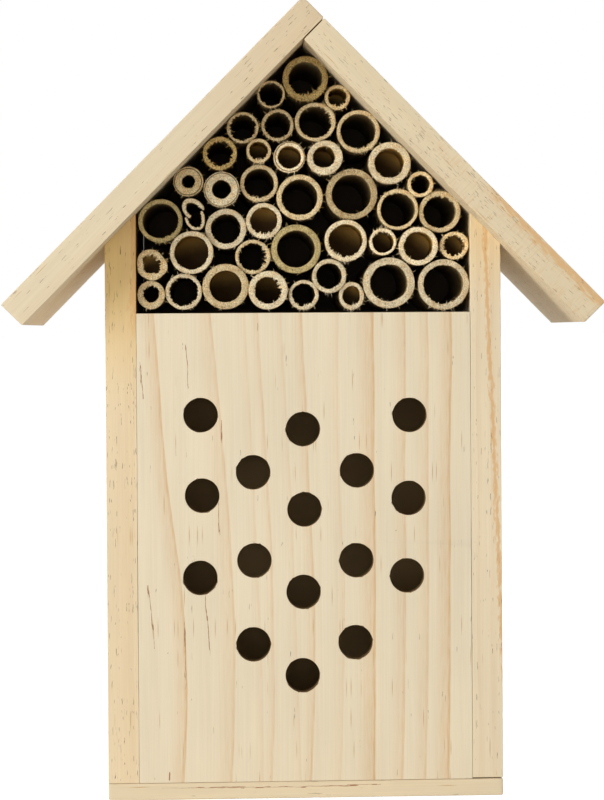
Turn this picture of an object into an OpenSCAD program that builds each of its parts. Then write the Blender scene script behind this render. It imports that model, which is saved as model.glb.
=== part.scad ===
// A small wooden bee hotel. Two pine side boards stand on a base board and carry a
// gable roof. A drilled front panel closes the lower half, and cut canes are bundled
// on a shelf in the gable above it. Everything is nailed, and nothing moves.
// Millimetres. It stands on z = 0, its front faces -y, and x = 0 is the middle.

/* [Box] */
// Width of the chamber between the side boards
inner_w = 97.5; // [95:0.5:110]
// Depth of the box, from the front of the side boards to the wall
box_depth = 75; // [65:1:95]
// Thickness of the side boards
side_t = 9; // [7:0.5:12]
// Thickness of the base board
base_t = 5; // [4:0.5:10]
// Radius of the sanded long edges of the side boards and the base board
edge_r = 0.8; // [0.3:0.1:2]

/* [Panels] */
// Height of the drilled front panel, which is the height of the shelf's top too
panel_h = 137; // [120:1:160]
// Thickness of the drilled front panel
panel_t = 5; // [4:0.5:8]
// Thickness of the back panel
back_t = 9; // [8:0.5:12]
// Thickness of the shelf that carries the canes
shelf_t = 5; // [4:0.5:8]
// Gap round a panel that is let in between other boards
let_in_gap = 0.2; // [0.1:0.05:0.4]

/* [Roof] */
// Pitch of the roof, in degrees from the horizontal
roof_pitch = 45.4; // [42:0.1:48]
// Thickness of the roof boards
roof_t = 8.5; // [7:0.5:12]
// Length of a roof slope, from the ridge to the eaves
roof_len = 123.5; // [115:0.5:140]
// How far the roof stands out in front of the box
roof_overhang = 15; // [5:1:25]
// Radius of the sanded long edges of the roof boards
roof_edge_r = 1; // [0.3:0.1:2]
// Radius of the blunted ridge
ridge_r = 2; // [1:0.25:3]
// Open seam where one roof board meets the other
ridge_seam = 0.3; // [0.1:0.05:0.6]

/* [Nesting holes] */
// Diameter of the drilled holes
hole_d = 10; // [8:0.5:11]
// Width of the softened edge of a hole
hole_edge = 0.3; // [0.1:0.1:0.6]
// Distance between neighbouring columns of holes
column_pitch = 15.1; // [12.5:0.1:17]
// Height of the panel's top edge above the first hole of the middle column
middle_first = 34; // [25:0.5:36]
// Spacing down the middle column
middle_pitch = 24; // [20:0.5:28]
// Height of the panel's top edge above the first hole of the columns beside it
beside_first = 46.5; // [40:0.5:50]
// Spacing down the columns beside the middle one
beside_pitch = 25; // [20:0.5:28]
// Height of the panel's top edge above the first hole of the outer columns
outer_first = 30; // [20:0.5:34]
// Spacing down the outer columns
outer_pitch = 23.7; // [20:0.1:28]

/* [Canes] */
// Height of the canes' chamber at its side walls, from the shelf up to the roof
chamber_h = 29; // [27:0.5:40]
// Width of the softened edge at the cut end of a cane
cane_edge = 0.4; // [0.1:0.1:0.5]
// Thickness of the wall that a growth joint leaves across a cane
joint_t = 1.2; // [0.8:0.1:2]
// Gap between the canes and the back panel
cane_end_gap = 0.3; // [0.1:0.1:3]
// Width of the split in the crushed cane
split_w = 0.6; // [0.3:0.1:1]

/* [Hanging slot] */
// Diameter of the hole that the screw head enters
key_head_d = 9.5; // [8:0.5:12]
// Diameter of the cutter that hollows the slot behind its lip
key_cutter_d = 9; // [7:0.5:10]
// Width of the slot that the screw shank slides up
key_slot_w = 4.5; // [3:0.5:6]
// Length of the slide, from the entry hole to the seat
key_rise = 9; // [6:0.5:14]
// Thickness of the lip that the screw head hooks behind
key_lip = 2.5; // [2:0.25:4]
// Depth of the slot
key_depth = 6; // [5:0.25:7]
// Height of the ridge's underside above the entry hole
key_drop = 38; // [30:1:60]

/* [Nails] */
// Diameter of a nail
nail_d = 1.2; // [1:0.1:1.6]
// Length of a nail
nail_len = 16; // [14:0.5:17]
// Diameter of a nail's head
nail_head_d = 2.4; // [2:0.1:3]
// Thickness of a nail's head
nail_head_t = 0.6; // [0.4:0.1:1]
// Length of a nail's point
nail_point = 2; // [1:0.5:3]
// Clearance round a nail in its hole
nail_gap = 0.05; // [0.02:0.01:0.1]
// Distance from the outer face of a side board to the roof nails in its top
nail_edge = 2.5; // [2:0.25:3]

/* [Hidden] */
$fn = 64;
// Longer than any board, for cutting along a plane
FAR = 600;
// Overlap that makes a cut break through a face
CUT = 1;

roof_depth = box_depth + roof_overhang;
roof_front = -roof_depth / 2;
box_front = roof_front + roof_overhang;
box_back = roof_depth / 2;
box_w = inner_w + 2 * side_t;
panel_w = inner_w - 2 * let_in_gap;
side_h = panel_h + chamber_h;
floor_z = base_t + panel_h;
gable_h = inner_w / 2 * tan(roof_pitch);
under_ridge_z = floor_z + chamber_h + gable_h;
ridge_z = under_ridge_z + roof_t / cos(roof_pitch);
back_inner = box_back - back_t;
shelf_front = box_front + panel_t + let_in_gap;
shelf_back = back_inner - let_in_gap;

PINE = "#e2d0b1";
PINE_SIDE = "#e4cda9";
PINE_ROOF = "#e0cbab";
ZINC = "#b9bab6";

// Tints of the canes' cut ends
PALE = "#e6d3b0";
STRAW = "#cfb98c";
OLIVE = "#a9996a";
TAN = "#b39a72";
BROWN = "#8c6f43";

// The chamber that the canes below fill: its width, its height at the walls and the
// height of its gable. In a smaller one the whole bundle is of smaller canes.
FILLED_W = 97.5;
FILLED_H = 29;
FILLED_GABLE = 49.4;
bundle = min(inner_w / FILLED_W, chamber_h / FILLED_H, gable_h / FILLED_GABLE, 1);

// The canes, laid row by row from the shelf up to the ridge. For each: how far it
// lies from the middle, how high above the shelf, its outer and bore diameters, how
// far its end stands back from the front of the box, how deep in the bore a growth
// joint closes it (0 where none does) and its tint. A last value is for a crushed
// cane: how far its round was drawn out, up and down.
CANES = [
    [-44.5, 4.9, 8.2, 5, 2, 0, STRAW],
    [-35, 5.8, 10.6, 8.6, 2.5, 0, PALE],
    [-22.8, 7.2, 13.4, 9.4, 1.5, 26, STRAW],
    [-10.3, 6.1, 11.4, 8, 1, 30, PALE],
    [-0.1, 4.7, 8.8, 6.8, 2, 0, PALE],
    [14, 4.3, 7.8, 5.6, 2, 14, PALE],
    [25, 8, 15, 11, 1, 0, PALE],
    [41, 7.8, 14.9, 11.6, 1.5, 0, PALE],
    [7.6, 10.7, 10, 7.6, 1.5, 0, PALE],
    [-44.2, 13.8, 8.8, 5.6, 2, 12, STRAW],
    [-32.7, 17.6, 12.6, 10, 1, 24, PALE],
    [-14.8, 16.4, 10.2, 8.4, 2.5, 0, STRAW],
    [-2.1, 18.6, 14.4, 11, 1.5, 0, OLIVE],
    [12.5, 21, 12.4, 10, 2, 22, PALE],
    [23.4, 20.6, 8, 6.4, 2, 20, PALE],
    [33.7, 18.9, 11.4, 8.6, 1, 18, PALE],
    [44.2, 19.3, 8.4, 6.4, 2.5, 16, STRAW],
    [-41.7, 26.8, 12.8, 10.4, 3, 0, OLIVE],
    [-31.9, 28.9, 6.6, 5, 2, 0, PALE, 1.4],
    [-22.5, 24.6, 11.8, 8.8, 2, 0, PALE],
    [-11.5, 27, 10.4, 8, 1.5, 15, PALE],
    [27.8, 30.1, 12, 10.2, 2, 0, STRAW],
    [40, 29, 12.2, 9.6, 2.5, 0, STRAW],
    [-0.9, 33.7, 13.4, 10.6, 2, 0, STRAW],
    [14.3, 34.7, 15, 11.6, 2.5, 0, TAN],
    [-23.6, 36.2, 10.4, 5.6, 1.5, 0, PALE],
    [-12.8, 37.9, 11, 8.8, 3, 0, STRAW],
    [34.5, 37.4, 7.6, 5.6, 2, 0, STRAW],
    [-33.2, 38.1, 8.8, 4, 2, 0, STRAW],
    [25.4, 43.6, 12.4, 8.8, 1, 22, PALE],
    [6.6, 45, 10.2, 6.6, 1, 28, PALE],
    [-3.8, 45.3, 9.2, 6.8, 2, 18, PALE],
    [-24.1, 46.6, 9.8, 7.6, 2, 0, BROWN],
    [-12.7, 47.1, 7.2, 5.6, 1.5, 20, STRAW],
    [16.2, 52.8, 12.6, 10.4, 1.5, 0, STRAW],
    [-17.4, 54, 9.2, 7.8, 2.5, 0, STRAW],
    [-7.2, 54.7, 9.4, 7.8, 3, 0, STRAW],
    [3.4, 55.6, 11.6, 9.6, 2, 0, STRAW],
    [10.2, 62.5, 7.4, 5.6, 2, 25, TAN],
    [-8.9, 63.4, 8, 7, 0.5, 0, STRAW],
    [0.9, 67.9, 13.2, 10, 1, 0, BROWN],
];

// How far the drill strayed from the mark of each hole, across and down
OUTER_STRAY = [[[0, -0.3], [0.3, -0.5], [-0.4, -0.2]], [[0.6, 0.1], [0.2, 0.7], [-0.4, -0.3]]];
BESIDE_STRAY = [[[0.1, 0], [0.3, 0.8], [-0.1, 0.3]], [[0.2, -0.3], [-0.1, 1], [-0.5, 0]]];
MIDDLE_STRAY = [[-0.4, 0], [-0.1, -0.5], [-0.5, -0.4], [-0.9, 0]];

// One column of holes as a list of [x, z], from its line, its first depth and its pitch
function column(x, first, pitch, stray) =
    [for (i = [0:len(stray) - 1]) [x + stray[i][0], floor_z - first - i * pitch - stray[i][1]]];

HOLES = concat(
    column(-2 * column_pitch, outer_first, outer_pitch, OUTER_STRAY[0]),
    column(-column_pitch, beside_first, beside_pitch, BESIDE_STRAY[0]),
    column(0, middle_first, middle_pitch, MIDDLE_STRAY),
    column(column_pitch, beside_first, beside_pitch, BESIDE_STRAY[1]),
    column(2 * column_pitch, outer_first, outer_pitch, OUTER_STRAY[1])
);

function cane_name(i) = str("cane_", i < 9 ? "0" : "", i + 1);

// Puts its child on a slope: x runs down from the ridge, z stands square to the roof
module on_right_slope() {
    translate([0, 0, ridge_z]) rotate([0, roof_pitch, 0]) children();
}

module on_left_slope() {
    mirror([1, 0, 0]) on_right_slope() children();
}

// All that lies above a plane at this height
module above(z) {
    translate([-FAR / 2, -FAR / 2, z]) cube(FAR);
}

// All that lies above the underside of the roof, less a gap
module under_roof_cut(gap = 0) {
    on_right_slope() above(-roof_t - gap);
    on_left_slope() above(-roof_t - gap);
}

// Section of a board with its four corners sanded round
module board_section(w, h, r) {
    translate([r, 0]) square([w - 2 * r, h]);
    translate([0, r]) square([w, h - 2 * r]);
    for (x = [r, w - r], y = [r, h - r]) translate([x, y]) circle(r);
}

// A round-headed nail, driven down from z = 0 and set flush
module nail() {
    rotate_extrude() polygon([
        [0, 0],
        [nail_head_d / 2, 0],
        [nail_head_d / 2, -nail_head_t],
        [nail_d / 2, -nail_head_t],
        [nail_d / 2, nail_point - nail_len],
        [0, -nail_len],
    ]);
}

// The hole that the nail makes
module nail_hole() {
    translate([0, 0, -nail_len - nail_gap]) cylinder(d = nail_d + 2 * nail_gap, h = nail_len + CUT);
    translate([0, 0, -nail_head_t - nail_gap]) cylinder(d = nail_head_d + 2 * nail_gap, h = nail_head_t + CUT);
}

// Nails up through the base board, into the side boards and the back panel
module at_base_nails() {
    in_sides = [for (x = [-1, 1], y = [box_front + box_depth / 5, box_back - box_depth / 5])
        [x * (inner_w + side_t) / 2, y]];
    in_back = [for (x = [-1, 1]) [x * inner_w / 4, box_back - back_t / 2]];
    for (p = concat(in_sides, in_back)) translate([p[0], p[1], 0]) mirror([0, 0, 1]) children();
}

// Nails in from each side board, into the edges of the two panels and of the shelf
module at_side_nails() {
    in_panel = [for (share = [0.18, 0.82]) [box_front + panel_t / 2, base_t + share * panel_h]];
    in_back = [for (share = [0.12, 0.5, 0.88]) [box_back - back_t / 2, base_t + share * side_h]];
    in_shelf = [[(shelf_front + shelf_back) / 2, floor_z - shelf_t / 2]];
    for (side = [-1, 1], p = concat(in_panel, in_back, in_shelf))
        translate([side * box_w / 2, p[0], p[1]]) rotate([0, side * 90, 0]) children();
}

// How far down a slope its underside reaches a distance x from the middle
function down_slope(x) = (x + roof_t * sin(roof_pitch)) / cos(roof_pitch);

// Nails square through each roof board, into the side boards and the back panel
module at_roof_nails() {
    in_side = [for (y = [box_front + box_depth / 6, box_back - box_depth / 3])
        [down_slope(box_w / 2 - nail_edge), y]];
    in_back = [for (share = [0.3, 0.75]) [down_slope(share * inner_w / 2), box_back - back_t / 2]];
    for (p = concat(in_side, in_back)) {
        on_left_slope() translate([p[0], p[1], 0]) children();
        on_right_slope() translate([p[0], p[1], 0]) children();
    }
}

// Nails through the top of the left roof board, into the end of the right one
module at_ridge_nails() {
    for (share = [-0.35, 0, 0.35])
        on_left_slope() translate([roof_t / 2, share * roof_depth, 0]) children();
}

module base_board() {
    color(PINE) difference() {
        translate([-box_w / 2, box_back, 0]) rotate([90, 0, 0])
            linear_extrude(box_depth) board_section(box_w, base_t, edge_r);
        at_base_nails() nail_hole();
    }
}

// The right-hand side board, its top cut to the slope of the roof
module side_board() {
    color(PINE_SIDE) difference() {
        translate([inner_w / 2, box_front, base_t])
            linear_extrude(side_h) board_section(side_t, box_depth, edge_r);
        under_roof_cut();
        at_base_nails() nail_hole();
        at_side_nails() nail_hole();
        at_roof_nails() nail_hole();
    }
}

module side_left() {
    mirror([1, 0, 0]) side_board();
}

module side_right() {
    side_board();
}

// A drilled hole with its edge softened at the front
module nesting_hole() {
    rotate([-90, 0, 0]) {
        translate([0, 0, -CUT]) cylinder(d = hole_d, h = panel_t + 2 * CUT);
        translate([0, 0, -CUT]) cylinder(d1 = hole_d + 2 * (hole_edge + CUT), d2 = hole_d, h = hole_edge + CUT);
    }
}

module front_panel() {
    color(PINE) difference() {
        translate([-panel_w / 2, box_front, base_t]) cube([panel_w, panel_t, panel_h]);
        for (p = HOLES) translate([p[0], box_front, p[1]]) nesting_hole();
        at_side_nails() nail_hole();
    }
}

// A slot for a screw head: an entry hole, and a narrow slide above it hollowed behind its lip
module hanging_slot() {
    translate([0, box_back, under_ridge_z - key_drop]) rotate([90, 0, 0]) {
        translate([0, 0, -CUT]) cylinder(d = key_head_d, h = key_depth + CUT);
        translate([-key_slot_w / 2, 0, -CUT]) cube([key_slot_w, key_rise, key_depth + CUT]);
        translate([0, key_rise, -CUT]) cylinder(d = key_slot_w, h = key_depth + CUT);
        translate([-key_cutter_d / 2, 0, key_lip]) cube([key_cutter_d, key_rise, key_depth - key_lip]);
        translate([0, key_rise, key_lip]) cylinder(d = key_cutter_d, h = key_depth - key_lip);
    }
}

// The back panel fills the whole gable between the side boards
module back_panel() {
    color(PINE) difference() {
        translate([-panel_w / 2, back_inner, base_t]) cube([panel_w, back_t, under_ridge_z - base_t]);
        under_roof_cut(let_in_gap);
        hanging_slot();
        at_base_nails() nail_hole();
        at_side_nails() nail_hole();
        at_roof_nails() nail_hole();
    }
}

module shelf() {
    color(PINE) difference() {
        translate([-panel_w / 2, shelf_front, floor_z - shelf_t])
            cube([panel_w, shelf_back - shelf_front, shelf_t]);
        at_side_nails() nail_hole();
    }
}

// A roof board as sawn, running on past the ridge
module roof_blank() {
    translate([-roof_t, roof_front, -roof_t]) rotate([90, 0, 90])
        linear_extrude(roof_len + roof_t) board_section(roof_depth, roof_t, roof_edge_r);
}

// What is sanded off the ridge to blunt it
module ridge_waste() {
    centre = [0, ridge_z - ridge_r / cos(roof_pitch)];
    touch = [ridge_r * sin(roof_pitch), centre[1] + ridge_r * cos(roof_pitch)];
    out = [CUT * sin(roof_pitch), CUT * cos(roof_pitch)];
    translate([0, box_back + CUT, 0]) rotate([90, 0, 0]) linear_extrude(roof_depth + 2 * CUT) difference() {
        polygon([
            [-touch[0], touch[1]],
            [-touch[0] - out[0], touch[1] + out[1]],
            [0, ridge_z + 3 * CUT],
            [touch[0] + out[0], touch[1] + out[1]],
            [touch[0], touch[1]],
        ]);
        translate(centre) circle(ridge_r);
    }
}

// The left board runs up over the end of the right one
module roof_left() {
    color(PINE_ROOF) difference() {
        on_left_slope() roof_blank();
        on_right_slope() above(0);
        ridge_waste();
        at_roof_nails() nail_hole();
        at_ridge_nails() nail_hole();
    }
}

module roof_right() {
    color(PINE_ROOF) difference() {
        on_right_slope() roof_blank();
        on_left_slope() above(-roof_t - ridge_seam);
        at_roof_nails() nail_hole();
        at_ridge_nails() nail_hole();
    }
}

// Half the lengthways section of a cane, closed by a growth joint if it has one
function cane_section(length, outer_r, bore_r, joint) = concat(
    [
        [bore_r, 0],
        [outer_r - cane_edge, 0],
        [outer_r, cane_edge],
        [outer_r, length - cane_edge],
        [outer_r - cane_edge, length],
        [bore_r, length],
    ],
    joint == 0 ? [] : [
        [bore_r, joint + joint_t],
        [0, joint + joint_t],
        [0, joint],
        [bore_r, joint],
    ]
);

// A round drawn out into an oval with straight flanks
module oval(r, stretch) {
    for (side = [-1, 1]) translate([0, side * stretch]) circle(r);
    translate([-r, -stretch]) square([2 * r, 2 * stretch]);
}

// The crushed cane is oval, and split open along its right flank
module crushed_cane(length, outer_r, bore_r, stretch) {
    linear_extrude(length) difference() {
        oval(outer_r, stretch);
        oval(bore_r, stretch);
        translate([0, -stretch]) square([outer_r + CUT, split_w]);
    }
}

module cane(c) {
    outer_r = bundle * c[2] / 2;
    bore_r = bundle * c[3] / 2;
    length = back_inner - cane_end_gap - box_front - c[4];
    color(c[6]) translate([bundle * c[0], box_front + c[4], floor_z + bundle * c[1]]) rotate([-90, 0, 0])
        if (len(c) > 7) crushed_cane(length, outer_r, bore_r, bundle * c[7]);
        else rotate_extrude() polygon(cane_section(length, outer_r, bore_r, c[5]));
}

base_board();
side_left();
side_right();
front_panel();
back_panel();
shelf();
roof_left();
roof_right();
color(ZINC) at_base_nails() nail();  // base_nails
color(ZINC) at_side_nails() nail();  // side_nails
color(ZINC) at_roof_nails() nail();  // roof_nails
color(ZINC) at_ridge_nails() nail();  // ridge_nails
for (i = [0:len(CANES) - 1]) cane(CANES[i]);
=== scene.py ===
import math
import random
from functools import partial

import bmesh
import bpy
from mathutils import Matrix, Vector, noise


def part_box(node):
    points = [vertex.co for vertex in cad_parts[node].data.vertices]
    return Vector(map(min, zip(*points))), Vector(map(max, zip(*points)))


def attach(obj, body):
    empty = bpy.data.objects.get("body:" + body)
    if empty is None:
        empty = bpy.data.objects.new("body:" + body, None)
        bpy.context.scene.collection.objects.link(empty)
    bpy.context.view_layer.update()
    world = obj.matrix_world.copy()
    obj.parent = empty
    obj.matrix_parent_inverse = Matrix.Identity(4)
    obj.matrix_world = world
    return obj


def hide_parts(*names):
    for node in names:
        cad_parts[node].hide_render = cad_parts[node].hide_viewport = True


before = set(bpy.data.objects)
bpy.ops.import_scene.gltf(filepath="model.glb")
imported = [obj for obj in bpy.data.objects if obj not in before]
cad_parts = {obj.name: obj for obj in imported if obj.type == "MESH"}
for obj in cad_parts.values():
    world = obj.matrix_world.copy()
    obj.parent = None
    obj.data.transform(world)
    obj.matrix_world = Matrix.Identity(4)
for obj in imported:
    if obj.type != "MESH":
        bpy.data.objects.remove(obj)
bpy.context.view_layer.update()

# Base board. One planed pine board lies flat under the whole box. The two sides and
# the back panel stand on it, and it is nailed up into them from below.
MM = 0.001


def linear(hex_colour):
    """An sRGB hex colour as the linear RGBA that a shader takes."""
    parts = [int(hex_colour[i:i + 2], 16) / 255 for i in (1, 3, 5)]
    return (*[p / 12.92 if p <= 0.04045 else ((p + 0.055) / 1.055) ** 2.4 for p in parts], 1)


def add_node(tree, kind, inputs, out=0, **settings):
    """Adds a shader node, sets or links its inputs, and returns one of its outputs."""
    made = tree.nodes.new("ShaderNode" + kind)
    for name, value in settings.items():
        setattr(made, name, value)
    for key, value in inputs.items():
        if isinstance(value, bpy.types.NodeSocket):
            tree.links.new(value, made.inputs[key])
        else:
            made.inputs[key].default_value = value
    return made.outputs[out] if len(made.outputs) else None


def new_material(name):
    """A material without nodes, and add_node for it."""
    material = bpy.data.materials.new(name)
    material.use_nodes = True
    material.node_tree.nodes.clear()
    return material, partial(add_node, material.node_tree)


# Planed and sanded pine: cream earlywood that deepens to an orange-pink line at the end
# of each year's growth, fine fibres, and short brown resin ducts, all along the grain.
PINE_LATE = "#D8B384"
PINE_DUCT = "#573A20"
PINE_DASH = "#BC9255"
PINE_CRACK = "#8E5526"
PINE_END = "#CDB287"
PINE_RESIN = "#D9A667"
PINE_ROUGHNESS = 0.62

# How long and how wide each mark in the wood is. Real fibres are 0.03 mm wide and ducts
# 0.15 mm, too fine for a pixel of 0.3 mm, so both are drawn as coarse as they need to show.
FIBRE_MM = (40, 0.5, 0.5)
DUCT_MM = (4.5, 0.24, 0.24)
DUCT_SHAKE_MM = (2.5, 0.8, 0.8)
DASH_MM = (9, 0.45, 0.45)
WANDER_MM = (70, 25, 25)
CLOUD_MM = (45, 12, 12)
BREAK_MM = (6, 0.5, 0.5)
RESIN_RAG_MM = (3, 0.7, 0.7)
SAW_MARK_MM = (0.55, 5, 5)
LINE_SPAN_MM = 100
DASH_SHARE = 0.035


def pine(name, length, early, across="Y", lines=(), rings=0.2, ring=5.5, pith=(-30, -42),
         ducts=0.015, streak=None, saw_from=None, tint_along=None, inner=None, bore_grain_and_shade=None, cracks=()):
    """Pine for a board whose grain runs along local X, with all sizes in mm.

    early is the colour of its earlywood, and across is the local axis that its year lines
    follow each other on. Each line closes a year's growth: its four places on that axis
    from foot to head, how far it fades, and its strength. Fainter rings lie round the
    pith, and ducts is the share of the cells that hold a duct. A streak of resin has its
    place at both ends, its half width, where it starts and the local Y of the face that
    it shows in. Saw marks cross the grain from saw_from on. tint_along is where a tint
    sets in along the grain, where it is full and its colour. inner is the two colours of
    painted shade on the face at local Z = 0 and where the second one starts, and
    bore_grain_and_shade is the colour of the walls behind that face, the end grain's own
    darker colour with painted shade over it. Each drying crack in the front face has its
    ends and its width.
    """
    material, add = new_material(name)
    coords = add("TexCoord", {}).node
    place = add("VectorMath", {0: coords.outputs["Object"], 3: 1 / MM}, operation="SCALE")
    drift = add("VectorMath", {0: place, 1: WANDER_MM}, operation="DIVIDE")
    drift = add("TexNoise", {"Vector": drift, "Scale": 1, "Detail": 3}, "Color")
    drift = add("VectorMath", {0: drift, 1: (0.5, 0.5, 0.5)}, operation="SUBTRACT")
    drift = add("VectorMath", {0: drift, 1: (0, 2.4, 2.4)}, operation="MULTIPLY")
    wood = add("VectorMath", {0: place, 1: drift}, operation="ADD")
    in_wood = add("SeparateXYZ", {0: wood}).node.outputs
    on_board = add("SeparateXYZ", {0: place}).node.outputs
    along, side = in_wood["X"], in_wood[across]
    depth = on_board["Z" if across == "Y" else "Y"]

    # Year rings round the pith, and over them the lines that the photo shows one by one.
    radius = add("VectorMath", {0: wood, 1: (0, *pith)}, operation="SUBTRACT")
    radius = add("VectorMath", {0: radius, 1: (0.02, 1, 1)}, operation="MULTIPLY")
    radius = add("VectorMath", {0: radius}, "Value", operation="LENGTH")
    year = add("Math", {0: radius, 1: ring}, operation="DIVIDE")
    year = add("Math", {0: year}, operation="FRACT")
    late = add("MapRange", {0: year, 1: 0.3, 2: 0.96, 4: rings}, interpolation_type="SMOOTHSTEP")
    share = add("Math", {0: along, 1: length}, operation="DIVIDE")
    for places, fade, strength in lines:
        curve = add("FloatCurve", {"Value": share}).node
        points = curve.mapping.curves[0].points
        points[0].location = (0, places[0] / LINE_SPAN_MM)
        points[1].location = (1, places[3] / LINE_SPAN_MM)
        points.new(1 / 3, places[1] / LINE_SPAN_MM)
        points.new(2 / 3, places[2] / LINE_SPAN_MM)
        off = add("Math", {0: curve.outputs[0], 1: LINE_SPAN_MM}, operation="MULTIPLY")
        off = add("Math", {0: side, 1: off}, operation="SUBTRACT")
        band = add("MapRange", {0: off, 1: -fade, 2: 0, 4: strength / 2}, interpolation_type="SMOOTHERSTEP")
        edge = add("MapRange", {0: off, 1: -0.9, 2: -0.1, 4: strength / 2}, interpolation_type="SMOOTHSTEP")
        line = add("Math", {0: band, 1: edge}, operation="ADD")
        before = add("MapRange", {0: off, 1: 0, 2: 0.35, 3: 1, 4: 0}, interpolation_type="SMOOTHSTEP")
        line = add("Math", {0: line, 1: before}, operation="MULTIPLY")
        late = add("Math", {0: late, 1: line}, operation="MAXIMUM")

    fibre = add("VectorMath", {0: place, 1: FIBRE_MM}, operation="DIVIDE")
    fibre = add("TexNoise", {"Vector": fibre, "Scale": 1, "Detail": 4, "Roughness": 0.6})
    cloud = add("VectorMath", {0: place, 1: CLOUD_MM}, operation="DIVIDE")
    cloud = add("TexNoise", {"Vector": cloud, "Scale": 1, "Detail": 2})
    broken = add("VectorMath", {0: place, 1: BREAK_MM}, operation="DIVIDE")
    broken = add("TexNoise", {"Vector": broken, "Scale": 1, "Detail": 3})

    # Resin ducts: shaken cells, of which a few hold a duct, each of its own depth.
    shaken = add("VectorMath", {0: place, 1: DUCT_SHAKE_MM}, operation="DIVIDE")
    shaken = add("TexNoise", {"Vector": shaken, "Scale": 1, "Detail": 1}, "Color")
    shaken = add("VectorMath", {0: shaken, 1: (1.2, 2.4, 2.4)}, operation="MULTIPLY")
    cell = add("VectorMath", {0: place, 1: DUCT_MM}, operation="DIVIDE")
    cell = add("VectorMath", {0: shaken, 1: cell}, operation="ADD")
    cell = add("TexVoronoi", {"Vector": cell, "Scale": 1}).node.outputs
    chance = add("SeparateXYZ", {0: cell["Color"]}).node.outputs
    crowd = add("MapRange", {0: cloud, 1: 0.35, 2: 0.6, 3: 0.4, 4: 1.6})
    crowd = add("Math", {0: crowd, 1: ducts}, operation="MULTIPLY")
    picked = add("Math", {0: chance["X"], 1: crowd}, operation="LESS_THAN")
    duct = add("MapRange", {0: cell["Distance"], 1: 0.2, 2: 0.33, 3: 1, 4: 0})
    duct = add("Math", {0: duct, 1: picked}, operation="MULTIPLY")
    dark = add("MapRange", {0: chance["Y"], 3: 0.2})
    duct = add("Math", {0: duct, 1: dark}, operation="MULTIPLY")

    # Amber dashes, longer, paler and rarer than the ducts.
    cell = add("VectorMath", {0: place, 1: DASH_MM}, operation="DIVIDE")
    cell = add("TexVoronoi", {"Vector": cell, "Scale": 1}).node.outputs
    picked = add("SeparateXYZ", {0: cell["Color"]}, "X")
    picked = add("Math", {0: picked, 1: DASH_SHARE}, operation="LESS_THAN")
    dash = add("MapRange", {0: cell["Distance"], 1: 0.12, 2: 0.4, 3: 0.7, 4: 0})
    dash = add("Math", {0: dash, 1: picked}, operation="MULTIPLY")

    colour = linear(early)
    # A tint that grows along the grain. On the left side board it is painted shade, the warm shadow under the
    # roof's overhang.
    if tint_along:
        start, full, yellow = tint_along
        old = add("MapRange", {0: along, 1: start, 2: full}, interpolation_type="SMOOTHSTEP")
        colour = add("Mix", {0: old, 6: colour, 7: linear(yellow)}, 2, data_type="RGBA")
    uneven = add("MapRange", {0: broken, 1: 0.35, 2: 0.65, 3: 0.6, 4: 1.15})
    late = add("Math", {0: late, 1: uneven}, operation="MULTIPLY")
    for share, tint in ((late, PINE_LATE), (dash, PINE_DASH)):
        colour = add("Mix", {0: share, 6: colour, 7: linear(tint)}, 2, data_type="RGBA")
    for pattern, darkest, lightest in ((fibre, 0.955, 1.035), (cloud, 0.965, 1.025)):
        shade = add("MapRange", {0: pattern, 1: 0.3, 2: 0.7, 3: darkest, 4: lightest})
        colour = add("VectorMath", {0: colour, 3: shade}, operation="SCALE")

    if streak:
        foot, head, half, start, face_y = streak
        middle = add("MapRange", {0: along, 1: 0, 2: length, 3: foot, 4: head})
        off = add("Math", {0: side, 1: middle}, operation="SUBTRACT")
        off = add("Math", {0: off}, operation="ABSOLUTE")
        ragged = add("VectorMath", {0: place, 1: RESIN_RAG_MM}, operation="DIVIDE")
        ragged = add("TexNoise", {"Vector": ragged, "Scale": 1, "Detail": 4})
        ragged = add("MapRange", {0: ragged, 1: 0.3, 2: 0.7, 3: -half, 4: half})
        off = add("Math", {0: off, 1: ragged}, operation="ADD")
        resin = add("MapRange", {0: off, 1: 0.2 * half, 2: 1.5 * half, 3: 0.7, 4: 0},
              interpolation_type="SMOOTHSTEP")
        begun = add("MapRange", {0: along, 1: start, 2: start + 9})
        resin = add("Math", {0: resin, 1: begun}, operation="MULTIPLY")
        inset = add("Math", {0: in_wood["Y"], 1: face_y}, operation="SUBTRACT")
        inset = add("Math", {0: inset}, operation="ABSOLUTE")
        near = add("MapRange", {0: inset, 1: 1, 2: 6, 3: 1, 4: 0}, interpolation_type="SMOOTHSTEP")
        resin = add("Math", {0: resin, 1: near}, operation="MULTIPLY")
        colour = add("Mix", {0: resin, 6: colour, 7: linear(PINE_RESIN)}, 2, data_type="RGBA")
    if saw_from is not None:
        mark = add("VectorMath", {0: place, 1: SAW_MARK_MM}, operation="DIVIDE")
        mark = add("TexNoise", {"Vector": mark, "Scale": 1, "Detail": 2})
        mark = add("MapRange", {0: mark, 1: 0.5, 2: 0.72})
        rough = add("MapRange", {0: along, 1: saw_from, 2: saw_from + 22, 4: 0.5})
        mark = add("Math", {0: mark, 1: rough}, operation="MULTIPLY")
        colour = add("Mix", {0: mark, 6: colour, 7: linear(PINE_LATE)}, 2, data_type="RGBA")

    # The sawn ends of the fibres are darker than the planed faces.
    end = add("SeparateXYZ", {0: coords.outputs["Normal"]}, "X")
    end = add("Math", {0: end}, operation="ABSOLUTE")
    end = add("MapRange", {0: end, 1: 0.6, 2: 0.9, 4: 0.6})
    for share, tint in ((duct, PINE_DUCT), (end, PINE_END)):
        colour = add("Mix", {0: share, 6: colour, 7: linear(tint)}, 2, data_type="RGBA")

    # Painted shade on the inner face at local Z = 0, darker still from start on, behind the canes.
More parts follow.
